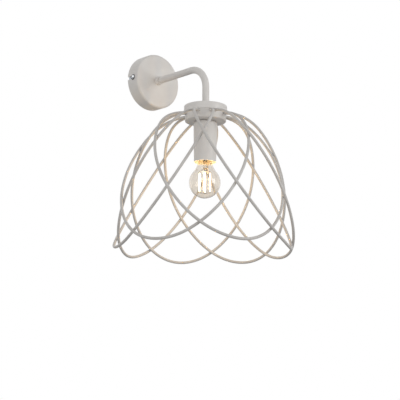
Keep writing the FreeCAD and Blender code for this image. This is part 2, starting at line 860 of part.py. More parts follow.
def bulb_outline(inset):
    """Globe and neck, from the bottom of the globe to the open end of the neck."""
    radius = globe_diameter / 2 - inset
    join_height = neck_start_height * radius / (globe_diameter / 2)
    join_radius = math.sqrt(radius ** 2 - join_height ** 2)
    neck = neck_diameter / 2 - inset
    slope = V(-join_height, 0, join_radius).normalize()
    join = at_globe(join_radius, join_height)
    top = at_globe(neck, neck_top_height)
    globe = Part.Arc(at_globe(0, -radius), at_globe(radius, 0), join).toShape()
    neck_edges = biarc(join, slope, top, V(0, 0, 1))
    return [globe] + neck_edges


def bulb_glass():
    """Blown glass envelope with a wall of its own."""
    outer = bulb_outline(0)
    inner = bulb_outline(glass_wall)
    rim = Part.makeLine(
        at_globe(neck_diameter / 2, neck_top_height),
        at_globe(neck_diameter / 2 - glass_wall, neck_top_height))
    foot = Part.makeLine(
        at_globe(0, -globe_diameter / 2), at_globe(0, -globe_diameter / 2 + glass_wall))
    profile = Part.Wire(Part.__sortEdges__(outer + [rim] + inner + [foot]))
    return turned(profile, V(0, lamp_y, globe_z), False)


def bulb_cap():
    """Metal screw cap: flared skirt round the neck, then the threaded part."""
    s = cap_sheet_bulb
    r = bulb_thread_diameter / 2
    k = skirt_diameter / 2
    neck_fit = neck_diameter / 2 + cap_glass_gap
    skirt_height = neck_top_height - skirt_lap
    points = [
        at_globe(neck_fit, skirt_height),
        at_globe(k, skirt_height),
        at_globe(k, skirt_top_height),
        at_globe(r, thread_start_height),
        at_globe(r, thread_top_height),
        at_globe(insulator_diameter / 2, cap_end),
        at_globe(insulator_diameter / 2, cap_end - s),
        at_globe(r - s, thread_top_height - s),
        at_globe(r - s, thread_start_height),
        at_globe(neck_fit, skirt_top_height),
    ]
    profile = Part.makePolygon(points + [points[0]])
    return turned(profile, V(0, lamp_y, globe_z), False)


def bulb_insulator():
    """Black glass cone between the cap and the solder tip."""
    return Part.makeCone(
        insulator_diameter / 2, bulb_contact_diameter / 2, insulator_height,
        V(0, lamp_y, globe_z + cap_end), V(0, 0, 1))


def bulb_contact():
    """Solder tip: a low dome."""
    low = globe_z + insulator_top_height
    height = bulb_contact_height
    radius = bulb_contact_diameter / 2
    dome_radius = (radius ** 2 + height ** 2) / (2 * height)
    dome = Part.makeSphere(dome_radius, V(0, lamp_y, low + height - dome_radius))
    return cylinder(radius, height, V(0, lamp_y, low), V(0, 0, 1)).common(dome)


def bulb_stem():
    """Glass stem that closes the neck and carries the filaments."""
    flare = neck_diameter / 2 - glass_wall - cap_glass_gap
    points = [
        at_globe(0, stem_tip_height),
        at_globe(stem_diameter / 2, stem_tip_height),
        at_globe(stem_diameter / 2, neck_top_height - stem_flare_length),
        at_globe(flare, neck_top_height - stem_foot_length),
        at_globe(flare, neck_top_height),
        at_globe(0, neck_top_height),
    ]
    profile = Part.makePolygon(points + [points[0]])
    return turned(profile, V(0, lamp_y, globe_z), False)


def filament_places():
    places = []
    for i in range(filament_count):
        angle = math.radians(360 / filament_count * (i + 0.5))
        places.append(V(
            filament_circle / 2 * math.cos(angle),
            lamp_y + filament_circle / 2 * math.sin(angle), 0))
    return places


def filament_low():
    return globe_z + filament_centre_height - filament_length / 2


def bulb_filaments():
    """Four upright light strips."""
    rods = []
    for place in filament_places():
        base = V(place.x, place.y, filament_low())
        rods.append(cylinder(filament_diameter / 2, filament_length, base, V(0, 0, 1)))
    return Part.makeCompound(rods)


def bulb_wires():
    """Support wires: stem to the strips' tops, and a cross that joins their feet."""
    radius = support_wire_diameter / 2
    rods = bulb_filaments()
    stem = bulb_stem()
    wires = []
    top = filament_low() + filament_length
    stem_z = globe_z + stem_tip_height
    for place in filament_places():
        out = V(place.x, place.y - lamp_y, 0).normalize()
        start = V(0, lamp_y, stem_z) + out * (stem_diameter / 2 - 2 * radius)
        end = V(place.x, place.y, top)
        path = Part.Wire([Part.makeLine(start, end)])
        wires.append(swept(path, start, end - start, radius).cut(rods).cut(stem))
    cross = None
    foot = filament_low() - radius - 0.01
    for place in filament_places()[:2]:
        half = V(place.x, place.y - lamp_y, 0)
        start = V(0, lamp_y, foot) - half
        bar = cylinder(radius, 2 * half.Length, start, half)
        cross = bar if cross is None else cross.fuse(bar)
    wires.append(cross)
    return Part.makeCompound(wires)


# ---------------------------------------------------------------- write the parts
def write(name, shape):
    shape.exportStep("parts/" + name + ".step")
    size = shape.BoundBox
    print("%-18s solids %d valid %s volume %9.1f  box %.1f x %.1f x %.1f" % (
        name, len(shape.Solids), shape.isValid(), shape.Volume,
        size.XLength, size.YLength, size.ZLength))


def main():
    os.makedirs("parts", exist_ok=True)
    write("wall_bracket", wall_bracket())
    write("earth_screw", earth_screw())
    write("earth_washer", earth_washer())
    write("left_side_screw", side_screw(-1))
    write("right_side_screw", side_screw(1))
    write("left_side_washer", side_washer(-1))
    write("right_side_washer", side_washer(1))
    write("rose_cover", rose_cover())
    write("rose_collar", rose_collar())
    write("earth_tag", earth_tag())
    write("rose_washer", rose_washer())
    write("rose_nut", rose_nut())
    write("arm_tube", arm_tube())
    write("cap_collar", cap_collar())
    write("hub_cap", hub_cap())
    write("hub_spacer", hub_spacer())
    write("cage_hoop", cage_hoop())
    write("cage_plate", cage_plate())
    for index in range(loop_count):
        write("cage_loop_%d" % (index + 1), cage_loop(index))
    write("sleeve", sleeve())
    write("lamp_nut", lamp_nut())
    write("holder_entry", holder_entry())
    write("holder_body", holder_body())
    write("contact_shell", contact_shell())
    write("centre_contact", centre_contact())
    write("contact_spring", contact_spring())
    write("live_terminal", live_terminal())
    write("neutral_terminal", neutral_terminal())
    write("live_lead", tube_lead("live_lead", -lead_spread, 0, -lead_spread))
    write("neutral_lead", tube_lead("neutral_lead", lead_spread, 1, neutral_bore_x))
    write("earth_lead", earth_lead())
    write("terminal_block", terminal_block())
    write("block_tubes", block_tubes())
    write("block_screws", block_screws())
    write("bulb_glass", bulb_glass())
    write("bulb_cap", bulb_cap())
    write("bulb_insulator", bulb_insulator())
    write("bulb_contact", bulb_contact())
    write("bulb_stem", bulb_stem())
    write("bulb_filaments", bulb_filaments())
    write("bulb_wires", bulb_wires())


main()
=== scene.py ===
# %% [markdown]
# # Cage wall light
#
# A white wall light in powder-coated steel: a round rose, a bent tube, and a cage of eight
# crossing wire loops round a small clear globe bulb that is lit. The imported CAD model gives
# every metal part its shape and place. This script gives the surfaces their finish and
# models in mesh code what the CAD only stands in for: the blown glass, the rolled screw
# cap, the light strips and the welds.

import json
import math

import bmesh
import bpy
from mathutils import Matrix, Vector, noise


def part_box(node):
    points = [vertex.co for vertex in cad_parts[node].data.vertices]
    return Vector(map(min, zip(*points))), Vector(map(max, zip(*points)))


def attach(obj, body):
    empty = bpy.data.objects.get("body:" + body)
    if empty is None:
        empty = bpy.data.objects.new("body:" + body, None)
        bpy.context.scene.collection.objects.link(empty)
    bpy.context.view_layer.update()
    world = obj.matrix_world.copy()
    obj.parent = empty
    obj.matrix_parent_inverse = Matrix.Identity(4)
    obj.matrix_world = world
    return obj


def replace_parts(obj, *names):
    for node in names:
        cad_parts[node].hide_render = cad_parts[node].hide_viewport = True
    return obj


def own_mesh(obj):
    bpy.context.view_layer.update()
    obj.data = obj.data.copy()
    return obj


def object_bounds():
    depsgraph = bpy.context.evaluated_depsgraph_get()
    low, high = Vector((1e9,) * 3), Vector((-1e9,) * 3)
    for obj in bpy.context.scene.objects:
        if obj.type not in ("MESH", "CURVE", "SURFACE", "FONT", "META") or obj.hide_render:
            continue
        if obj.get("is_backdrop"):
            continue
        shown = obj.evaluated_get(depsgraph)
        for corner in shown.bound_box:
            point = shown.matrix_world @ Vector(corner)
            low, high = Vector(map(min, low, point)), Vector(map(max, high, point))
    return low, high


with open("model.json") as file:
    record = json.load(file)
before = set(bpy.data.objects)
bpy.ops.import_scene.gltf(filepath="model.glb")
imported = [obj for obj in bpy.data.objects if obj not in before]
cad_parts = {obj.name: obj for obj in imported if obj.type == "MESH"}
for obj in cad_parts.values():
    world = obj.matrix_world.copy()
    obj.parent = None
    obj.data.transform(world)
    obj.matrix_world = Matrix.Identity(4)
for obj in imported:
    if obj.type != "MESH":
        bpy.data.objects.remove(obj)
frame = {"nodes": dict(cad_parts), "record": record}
nodes = frame["nodes"]
cad_box = [list(corner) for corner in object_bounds()]

# %% [markdown]
# ## Camera
#
# The photograph was taken from below and from the left of the lamp, with a long lens. The
# camera is set by its distance from the lamp's upright axis, its turn round that axis and
# its height, and then by where it looks. Angles are easier to check against a photograph
# than a matrix is.

# %% Place the camera
millimetre = 0.001
lamp_axis = Vector((0, sum(c.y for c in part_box("sleeve")) / 2, 0))
camera_turn = math.radians(-42.2)
camera_distance = 1606.8 * millimetre
camera_height = -511.8 * millimetre
look_up = math.radians(11.09)
look_right = math.radians(-0.23)
roll = math.radians(0.67)
sensor_width = 36          # in millimetres, as Blender takes it
focal_length = 104.85      # in millimetres

to_right = Vector((math.cos(camera_turn), math.sin(camera_turn), 0))
to_lamp = Vector((-math.sin(camera_turn), math.cos(camera_turn), 0))
level = to_right * math.sin(look_right) + to_lamp * math.cos(look_right)
forward = level * math.cos(look_up) + Vector((0, 0, math.sin(look_up)))
right = to_right * math.cos(look_right) - to_lamp * math.sin(look_right)
up = right.cross(forward)
right, up = (right * math.cos(roll) + up * math.sin(roll),
             up * math.cos(roll) - right * math.sin(roll))
place = lamp_axis - to_lamp * camera_distance + Vector((0, 0, camera_height))

camera_data = bpy.data.cameras.new("camera")
camera_data.sensor_width = sensor_width
camera_data.lens = focal_length
camera = bpy.data.objects.new("camera", camera_data)
turn = Matrix((right, up, -forward)).transposed()
camera.matrix_world = Matrix.Translation(place) @ turn.to_4x4()
bpy.context.scene.collection.objects.link(camera)
bpy.context.scene.camera = camera
bpy.context.scene.view_settings.view_transform = "Standard"
print("camera at", [round(v, 3) for v in place])

# %% [markdown]
# ## Studio
#
# The photograph is a cut-out on white. A plain pale floor lies well below the light. The
# world shows white to the camera, to reflections and through glass, while it lights the
# object at a lower level, so that the white paint keeps its shades. One broad soft lamp
# stands in front of the wall, a little to the right, because the sleeve, the arm and the hub
# are lightest on the side that faces away from the wall. A weak one fills the left.

# %% Colours and nodes
def linear(hex_colour):
    """An sRGB hex colour as the linear values that Blender's sockets take."""
    shares = [int(hex_colour[i:i + 2], 16) / 255 for i in (1, 3, 5)]
    return [s / 12.92 if s <= 0.04045 else ((s + 0.055) / 1.055) ** 2.4 for s in shares] + [1]


def add(tree, kind, inputs=None, **settings):
    """Adds a node with its settings; each input is a value or the socket to link."""
    made = tree.nodes.new(kind)
    for name, value in settings.items():
        setattr(made, name, value)
    for name, value in (inputs or {}).items():
        if isinstance(value, bpy.types.NodeSocket):
            tree.links.new(value, made.inputs[name])
        else:
            made.inputs[name].default_value = value
    return made


# %% World
world = bpy.data.worlds.new("studio")
world.use_nodes = True
bpy.context.scene.world = world
tree = world.node_tree
tree.nodes.clear()
light_level = 0.43
rays = add(tree, "ShaderNodeLightPath")
seen = add(tree, "ShaderNodeMath", {0: rays.outputs["Is Camera Ray"],
                                    1: rays.outputs["Is Glossy Ray"]}, operation="MAXIMUM")
seen = add(tree, "ShaderNodeMath", {0: seen.outputs[0],
                                    1: rays.outputs["Is Transmission Ray"]},
           operation="MAXIMUM")
strength = add(tree, "ShaderNodeMapRange", {"Value": seen.outputs[0], "To Min": light_level,
                                            "To Max": 1.0})
sky = add(tree, "ShaderNodeBackground", {"Color": (1, 1, 1, 1),
                                         "Strength": strength.outputs["Result"]})
add(tree, "ShaderNodeOutputWorld", {"Surface": sky.outputs[0]})
print("world lights at", light_level)

# %% Floor
floor_mesh = bpy.data.meshes.new("floor")
floor_drop = -0.62
half = 4.0
floor_mesh.from_pydata([(-half, -half, floor_drop), (half, -half, floor_drop),
                        (half, half, floor_drop), (-half, half, floor_drop)], [],
                       [(0, 1, 2, 3)])
floor = bpy.data.objects.new("floor", floor_mesh)
bpy.context.scene.collection.objects.link(floor)
floor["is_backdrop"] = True

paper = bpy.data.materials.new("white_paper")
paper.use_nodes = True
tree = paper.node_tree
tree.nodes.clear()
grain = add(tree, "ShaderNodeTexNoise", {"Scale": 3.0, "Detail": 2.0})
tone = add(tree, "ShaderNodeMapRange", {"Value": grain.outputs["Fac"], "To Min": 0.62,
                                        "To Max": 0.66})
matt = add(tree, "ShaderNodeBsdfDiffuse", {"Color": tone.outputs["Result"]})
rays = add(tree, "ShaderNodeLightPath")
floor_glow = 0.75
backlight = add(tree, "ShaderNodeMath", {0: rays.outputs["Is Camera Ray"],
                                         1: floor_glow}, operation="MULTIPLY")
shine = add(tree, "ShaderNodeEmission", {"Strength": backlight.outputs[0]})
both = add(tree, "ShaderNodeAddShader", {0: matt.outputs[0], 1: shine.outputs[0]})
add(tree, "ShaderNodeOutputMaterial", {"Surface": both.outputs[0]})
floor_mesh.materials.append(paper)

# %% Lamps
def soft_lamp(name, place, target, size, watts):
    """A square area lamp that faces a point."""
    data = bpy.data.lights.new(name, "AREA")
    data.shape = "SQUARE"
    data.size = size
    data.energy = watts
    lamp = bpy.data.objects.new(name, data)
    lamp.location = place
    lamp.rotation_euler = (Vector(target) - Vector(place)).to_track_quat("-Z", "Y").to_euler()
    bpy.context.scene.collection.objects.link(lamp)


middle = lamp_axis + Vector((0, 0, -0.13))
soft_lamp("front_lamp", place=(0.9, -2.2, 0.1), target=middle, size=1.2, watts=17)
soft_lamp("left_lamp", place=(-1.8, -0.5, 0.1), target=middle, size=1.4, watts=8)
print("lamps placed")

# %% [markdown]
# ## White powder-coated steel
#
# Dry paint powder is sprayed on the steel, holds by its charge, and is baked until it
# flows. It sets as a thick, even, satin skin with a fine orange peel. What the eye sees is
# a soft highlight that breaks up a little. A plain noise bump gives that. Real orange peel
# is about 0.5 mm from crest to crest and too fine to show here, so it is drawn at 1.2 mm.
# The cage wires and their welds get a darker copy of the paint. That is painted shade: the
# wires are seen from their outer sides, which face away from the light, and so look greyer
# than the flat parts do.

# %% Powder coat
def new_surface(name, settings):
    """A new material with one Principled shader; returns material, tree and shader."""
    material = bpy.data.materials.new(name)
    material.use_nodes = True
    tree = material.node_tree
    tree.nodes.clear()
    shader = add(tree, "ShaderNodeBsdfPrincipled", settings)
    add(tree, "ShaderNodeOutputMaterial", {"Surface": shader.outputs[0]})
    return material, tree, shader


coat_looks = {
    # name: (darker colour, lighter colour)
    "white_powder_coat": ("#DBD7D3", "#E3E0DC"),
    # darker copy for the cage wires and welds: painted shade
    "shaded_wire_powder_coat": ("#C6C2BE", "#D0CDC9"),
}
peel_size = 1.2 * millimetre
cloud_size = 35 * millimetre
paints = {}
for name, (dark_tone, light_tone) in coat_looks.items():
    paint, tree, shader = new_surface(name, {"IOR": 1.5})
    where = add(tree, "ShaderNodeTexCoord").outputs["Object"]
    peel = add(tree, "ShaderNodeTexNoise", {"Vector": where, "Scale": 1 / peel_size,
                                            "Detail": 1.0, "Roughness": 0.4})
    bump = add(tree, "ShaderNodeBump", {"Height": peel.outputs["Fac"], "Strength": 0.35,
                                        "Distance": 0.05 * millimetre})
    cloud = add(tree, "ShaderNodeTexNoise", {"Vector": where, "Scale": 1 / cloud_size,
                                             "Detail": 2.0})
    film = add(tree, "ShaderNodeValToRGB", {"Fac": cloud.outputs["Fac"]})
    film.color_ramp.elements[0].position = 0.35
    film.color_ramp.elements[0].color = linear(dark_tone)
    film.color_ramp.elements[1].position = 0.65
    film.color_ramp.elements[1].color = linear(light_tone)
    sheen = add(tree, "ShaderNodeMapRange", {"Value": peel.outputs["Fac"], "To Min": 0.40,
                                             "To Max": 0.52})
    tree.links.new(film.outputs["Color"], shader.inputs["Base Color"])
    tree.links.new(sheen.outputs["Result"], shader.inputs["Roughness"])
    tree.links.new(bump.outputs["Normal"], shader.inputs["Normal"])
    paints[name] = paint
print("paints:", ", ".join(paints))

# %% [markdown]
# ## Plated steel, brass and solder
#
# Small hardware is bare plated metal. A metal is all reflection, so its colour goes into
# Base Color with Metallic at 1, and its polish is the roughness. Bright zinc is bluish and
# slightly cloudy. Chrome is smoother. Black zinc is a dark satin. The washers under the side
# screws take it, so they draw a dark ring round each screw head, which is painted shade for
# the gap round the head. Turned brass is a little uneven along its tool marks, and solder
# sets with a dull rippled skin.

# %% Metals
metal_looks = {
    # name: (darker colour, lighter colour, least roughness, most roughness, grain in mm)
    "bright_zinc_plated_steel": ("#9DA2A8", "#C9CDD1", 0.28, 0.42, 1.5),
    "chrome_plated_steel": ("#C6C8CB", "#D8DADC", 0.08, 0.16, 3.0),
    # black zinc: dark washers drawn as painted shade round the side screw heads
    "black_zinc_plated_steel": ("#242528", "#3A3B3F", 0.30, 0.45, 0.8),
    "turned_brass": ("#B58E45", "#CFA95C", 0.24, 0.38, 0.6),
    "nickel_plated_brass": ("#BDB7AC", "#D2CDC3", 0.16, 0.28, 1.2),
    "tin_solder": ("#8E8F90", "#B4B5B6", 0.40, 0.60, 0.8),
    "molybdenum_wire": ("#77746F", "#A5A19A", 0.30, 0.45, 0.5),
}
metals = {}
for name, (dark_tone, light_tone, smooth, rough, grain_size) in metal_looks.items():
    metal, tree, shader = new_surface(name, {"Metallic": 1.0})
    where = add(tree, "ShaderNodeTexCoord").outputs["Object"]
    grain = add(tree, "ShaderNodeTexNoise", {
        "Vector": where, "Scale": 1 / (grain_size * millimetre), "Detail": 3.0})
    tones = add(tree, "ShaderNodeValToRGB", {"Fac": grain.outputs["Fac"]})
    tones.color_ramp.elements[0].color = linear(dark_tone)
    tones.color_ramp.elements[1].color = linear(light_tone)
    polish = add(tree, "ShaderNodeMapRange", {"Value": grain.outputs["Fac"],
                                              "To Min": smooth, "To Max": rough})
    tree.links.new(tones.outputs["Color"], shader.inputs["Base Color"])
    tree.links.new(polish.outputs["Result"], shader.inputs["Roughness"])
    metals[name] = metal
print("metals:", ", ".join(metals))

# %% [markdown]
# ## Ceramic, plastics and sleeving
#
# The lampholder is glazed steatite: a creamy body under a clear glassy skin, which is a
# coat on the shader. The connector block is moulded nylon, slightly waxy and translucent.
# Lead insulation is extruded PVC with faint lines along it; noise is enough at this size.

# %% Ceramic and plastics
dull_looks = {
    # name: (darker colour, lighter colour, roughness, coat, grain in mm, bump in mm)
    "glazed_steatite": ("#E4E0D5", "#EFECE4", 0.35, 0.8, 4.0, 0.02),
    "moulded_nylon": ("#DEDDD6", "#ECEBE5", 0.45, 0.0, 0.8, 0.01),
    "brown_pvc": ("#4A2B1A", "#5E3A25", 0.50, 0.0, 0.6, 0.01),
    "blue_pvc": ("#1F4C94", "#2E62B0", 0.50, 0.0, 0.6, 0.01),
    "green_pvc": ("#3F7F2C", "#9BB02E", 0.50, 0.0, 2.6, 0.01),
    "vitrite_glass": ("#141416", "#232327", 0.12, 0.3, 1.0, 0.02),
}
plastics = {}
for name, (dark_tone, light_tone, rough, coat, grain_size, depth) in dull_looks.items():
    plastic, tree, shader = new_surface(name, {
        "Roughness": rough, "Coat Weight": coat, "Coat Roughness": 0.06, "IOR": 1.5})
    where = add(tree, "ShaderNodeTexCoord").outputs["Object"]
    grain = add(tree, "ShaderNodeTexNoise", {
        "Vector": where, "Scale": 1 / (grain_size * millimetre), "Detail": 2.0})
    tones = add(tree, "ShaderNodeValToRGB", {"Fac": grain.outputs["Fac"]})
    tones.color_ramp.elements[0].position = 0.3
    tones.color_ramp.elements[1].position = 0.7
    tones.color_ramp.elements[0].color = linear(dark_tone)
    tones.color_ramp.elements[1].color = linear(light_tone)
    bump = add(tree, "ShaderNodeBump", {"Height": grain.outputs["Fac"], "Strength": 0.3,
                                        "Distance": depth * millimetre})
    tree.links.new(tones.outputs["Color"], shader.inputs["Base Color"])
    tree.links.new(bump.outputs["Normal"], shader.inputs["Normal"])
    plastics[name] = plastic
print("ceramic and plastics:", ", ".join(plastics))

# %% [markdown]
# ## Clear soda-lime glass
#
# The globe is blown, thin and very clear, with slow waves where it cooled. Its wall has
# two faces in the mesh, so the shader can bend light as the real wall does: Transmission
# at 1, an IOR of 1.52 and hardly any roughness. A slow bump stands for the waves.

# %% Glass
clear_glass, tree, shader = new_surface("soda_lime_glass", {
    "Transmission Weight": 1.0, "IOR": 1.52})
where = add(tree, "ShaderNodeTexCoord").outputs["Object"]
wave_size = 14 * millimetre
waves = add(tree, "ShaderNodeTexNoise", {"Vector": where, "Scale": 1 / wave_size,
                                         "Detail": 1.0})
bump = add(tree, "ShaderNodeBump", {"Height": waves.outputs["Fac"], "Strength": 0.15,
                                    "Distance": 0.1 * millimetre})
tint = add(tree, "ShaderNodeValToRGB", {"Fac": waves.outputs["Fac"]})
tint.color_ramp.elements[0].color = linear("#EBE5DD")
tint.color_ramp.elements[1].color = linear("#F3EFE9")
haze = add(tree, "ShaderNodeMapRange", {"Value": waves.outputs["Fac"], "To Min": 0.0,
                                        "To Max": 0.03})
tree.links.new(tint.outputs["Color"], shader.inputs["Base Color"])
tree.links.new(haze.outputs["Result"], shader.inputs["Roughness"])
tree.links.new(bump.outputs["Normal"], shader.inputs["Normal"])

# %% [markdown]
# ## Lit phosphor
#
# Each light strip is a row of tiny blue diodes under a yellow phosphor coat. Lit, the coat
# glows warm white, a little brighter over each diode. Those are about 1 mm apart, which a
# wave pattern along the strip repeats. The glow is real light, and gives the inside of the
# sleeve its golden colour.

# %% Phosphor
phosphor, tree, shader = new_surface("lit_phosphor_coat", {
    "Base Color": linear("#F2C868"), "Roughness": 0.55})
where = add(tree, "ShaderNodeTexCoord").outputs["Object"]
diode_spacing = 1.0 * millimetre
band_at_scale_one = 0.314  # metres from one band of the wave to the next
diodes = add(tree, "ShaderNodeTexWave", {
    "Vector": where, "Scale": band_at_scale_one / diode_spacing, "Distortion": 0.4},
    wave_type="BANDS", bands_direction="Z")
warm = add(tree, "ShaderNodeValToRGB", {"Fac": diodes.outputs["Fac"]})
warm.color_ramp.elements[0].color = linear("#FFD9A0")
warm.color_ramp.elements[1].color = linear("#FFEDCB")
power = add(tree, "ShaderNodeMapRange", {"Value": diodes.outputs["Fac"], "To Min": 7.0,
                                         "To Max": 11.0})
tree.links.new(warm.outputs["Color"], shader.inputs["Emission Color"])
tree.links.new(power.outputs["Result"], shader.inputs["Emission Strength"])

# %% [markdown]
# ## Finishes on the CAD parts
#
# The CAD parts keep their own meshes. The record names each part's finish, so one table
# from the record's slots to the materials above dresses them all.

# %% Dress the CAD parts
finish_of_slot = {
    "white_powder_coat": paints["white_powder_coat"],
    "zinc_plated_steel": metals["bright_zinc_plated_steel"],
    "chrome_plated_steel": metals["chrome_plated_steel"],
    "black_zinc_plated_steel": metals["black_zinc_plated_steel"],
    "brass": metals["turned_brass"],
    "nickel_plated_brass": metals["nickel_plated_brass"],
    "glazed_ceramic": plastics["glazed_steatite"],
    "white_plastic": plastics["moulded_nylon"],
    "brown_sleeving": plastics["brown_pvc"],
    "blue_sleeving": plastics["blue_pvc"],
    "green_sleeving": plastics["green_pvc"],
    "clear_glass": clear_glass,
    "black_glass": plastics["vitrite_glass"],
    "solder": metals["tin_solder"],
    "filament_coating": phosphor,
    "filament_wire": metals["molybdenum_wire"],
}
for part in frame["record"]["subparts"]:
    finish = finish_of_slot[part["material_slot"]]
    # The cage loops take the darker copy of the paint, painted shade for their unlit outer
    # sides.
    if part["node"].startswith("cage_loop"):
        finish = paints["shaded_wire_powder_coat"]
    mesh = nodes[part["node"]].data
    mesh.materials.clear()
    mesh.materials.append(finish)

# %% [markdown]
# ## Pieces made of rings
#
# Every shape modelled here is a row of rings of points, each joined to the next. A turned
# shape closes on itself, and a bar or a wire ends in a flat face. Three helpers serve all of
# them: one gives the angles of a ring's points, one joins the rings, and one makes the
# finished mesh a piece on its body.

# %% Join rings and place a piece
def round_angles(steps):
    """The angles of evenly spaced points round a circle."""
    return [2 * math.pi * i / steps for i in range(steps)]


def join_rings(shape, rings, closed=False):
    """Joins each ring to the next. Closed joins the last to the first; open caps both."""
    pairs = list(zip(rings, rings[1:]))
    if closed:
        pairs.insert(0, (rings[-1], rings[0]))
    for low, high in pairs:
        for i in range(len(low)):
            j = (i + 1) % len(low)
            shape.faces.new((low[i], low[j], high[j], high[i])).smooth = True
    if not closed:
        shape.faces.new(rings[0][::-1])
        shape.faces.new(rings[-1])


def place_piece(name, shape, material, body):
    """Turns a finished shape into an object with its material, slot and body."""
    mesh = bpy.data.meshes.new(name)
    shape.to_mesh(mesh)
    shape.free()
    mesh.materials.append(material)
    made = bpy.data.objects.new(name, mesh)
    bpy.context.scene.collection.objects.link(made)
    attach(made, body)
    print(name, len(mesh.polygons), "faces")
    return made


# %% [markdown]
# ## Turned shapes
#
# Glass, screw cap and stem are all round about the lamp's axis, so each is a profile spun
# round it. One helper does that: it takes closed rings of radius and height, and lets a
# radius depend on the angle, which the screw thread needs. Points at the axis fall together
# and are merged.

# %% Spin a profile
globe_low, globe_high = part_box("bulb_glass")
globe_radius = (globe_high.x - globe_low.x) / 2
globe_middle = Vector((0, lamp_axis.y, globe_low.z + globe_radius))
merge_distance = 0.0001 * millimetre


def spin(name, profile, steps, material, bulge=None):
    """A closed solid from a closed profile of (radius, height) about the bulb's axis."""
    shape = bmesh.new()
    rings = []
    for radius, height in profile:
        ring = []
        for angle in round_angles(steps):
            r = radius + (bulge(height, angle) if bulge else 0)
            ring.append(shape.verts.new(globe_middle + Vector((
                r * math.cos(angle), r * math.sin(angle), height))))
        rings.append(ring)
    join_rings(shape, rings, closed=True)
    bmesh.ops.remove_doubles(shape, verts=shape.verts, dist=merge_distance)
    bmesh.ops.recalc_face_normals(shape, faces=shape.faces)
    return place_piece(name, shape, material, "bulb")


# %% [markdown]
# ## Blown globe
#
# The globe is a sphere that runs into a short neck without an edge, because it was blown
# in a mould. The outline follows the sphere up to the join, and from there a cubic curve
# that keeps the sphere's slope and ends upright in the cap. The inside is the same outline
# moved in by the wall.

# %% Globe
join_height = 14.0 * millimetre
neck_height = globe_high.z - globe_middle.z
neck_radius = 8.5 * millimetre
glass_wall = 0.8 * millimetre
at_axis = 1e-9
outline_steps = 48


def globe_outline(inset, steps):
    """Outline of the globe from its lowest point up to the neck's end."""
    ball = globe_radius - inset
    join = join_height * ball / globe_radius
    last = math.asin(join / ball)
    points = []
    for i in range(steps + 1):
        a = -math.pi / 2 + (last + math.pi / 2) * i / steps
        points.append((max(ball * math.cos(a), at_axis), ball * math.sin(a)))
    r0, h0 = points[-1]
    r1, h1 = neck_radius - inset, neck_height
    slope = -h0 / r0
    for i in range(1, steps // 2 + 1):
        t = i / (steps // 2)
        bend = slope * (h1 - h0)
        r = (r0 * (2 * t ** 3 - 3 * t ** 2 + 1) + bend * (t ** 3 - 2 * t ** 2 + t)
             + r1 * (3 * t ** 2 - 2 * t ** 3))
        points.append((r, h0 + (h1 - h0) * t))
    return points


outside = globe_outline(0, outline_steps)
inside = globe_outline(glass_wall, outline_steps)
globe = spin("blown_globe", outside + inside[::-1], steps=96, material=clear_glass)
globe.visible_shadow = False
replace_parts(globe, "bulb_glass")

# %% [markdown]
# ## Rolled screw cap
#
# The cap is one drawn cup of thin brass, nickel plated. Its thread isn't cut but rolled
# into the sheet, so the ridges are round waves, 2.82 mm apart, and show inside as well. A
# wave that climbs one pitch for each turn makes them. The skirt below it flares over the
# glass neck.

# %% Screw cap
thread_pitch = 2.82 * millimetre
thread_depth = 0.7 * millimetre
thread_low, thread_high = 40.3 * millimetre, 51.3 * millimetre


def thread_wave(height, angle):
    """How far the rolled thread dips in at this place; none outside the thread."""
    fade = min(1, max(0, (height - thread_low) / thread_pitch),
               max(0, (thread_high - height) / thread_pitch))
    turn = height / thread_pitch - angle / (2 * math.pi)
    return -thread_depth * fade * (0.5 - 0.5 * math.cos(2 * math.pi * turn))


# Radii and heights above the globe's middle, in millimetres.
thread_radius, thread_start = 6.95, 40.1
thread_rings, ring_spacing = 40, 0.28
outer = [(8.65, 36.0), (9.3, 36.0), (9.3, 36.6), (9.15, 37.8), (8.6, 38.9), (7.6, 39.6)]
outer += [(thread_radius, thread_start + ring_spacing * i) for i in range(thread_rings + 1)]
outer += [(6.2, 52.0), (4.5, 52.5)]

# The inside follows the outside, in by the sheet. It stops at the hole in the cap's end.
cap_sheet, cap_end_sheet, skirt_lip = 0.3, 0.25, 0.1
end_hole, skirt_top = 4.2, 38.8
inner = [(max(r - cap_sheet, end_hole), h - cap_end_sheet if h > skirt_top else h + skirt_lip)
         for r, h in outer[:1:-1]]
profile = [(r * millimetre, h * millimetre) for r, h in outer + inner]
cap = spin("rolled_screw_cap", profile, steps=72, material=metals["nickel_plated_brass"],
           bulge=thread_wave)
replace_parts(cap, "bulb_cap")

# %% [markdown]
# ## Stem and light strips
#
# The stem is a glass tube melted to the neck: a flare at its foot, a slim rod above, and a
# rounded tip where the wires come out. Each strip is a thin bar with a rounded phosphor
# coat, and a bare metal tab at each end that is welded to its wire.

# %% Glass stem
# Radii and heights above the globe's middle, in millimetres, from the tip to the foot.
stem_points = [(0.001, 19.0), (1.6, 19.1), (2.6, 19.8), (3.0, 21.0), (2.7, 24.0), (2.4, 28.0),
               (2.9, 31.5), (4.4, 34.6), (6.4, 36.8), (7.55, 37.7), (7.55, 38.4),
               (0.001, 38.4)]
stem_profile = [(r * millimetre, h * millimetre) for r, h in stem_points]
stem = spin("glass_stem", stem_profile, steps=48, material=clear_glass)
stem.visible_shadow = False
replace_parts(stem, "bulb_stem")

# %% Light strips
strip_circle = 7.5 * millimetre
strip_low, strip_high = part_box("bulb_filaments")
strip_radius = 0.9 * millimetre
tab_length = 1.6 * millimetre
tab_radius = 0.6 * strip_radius


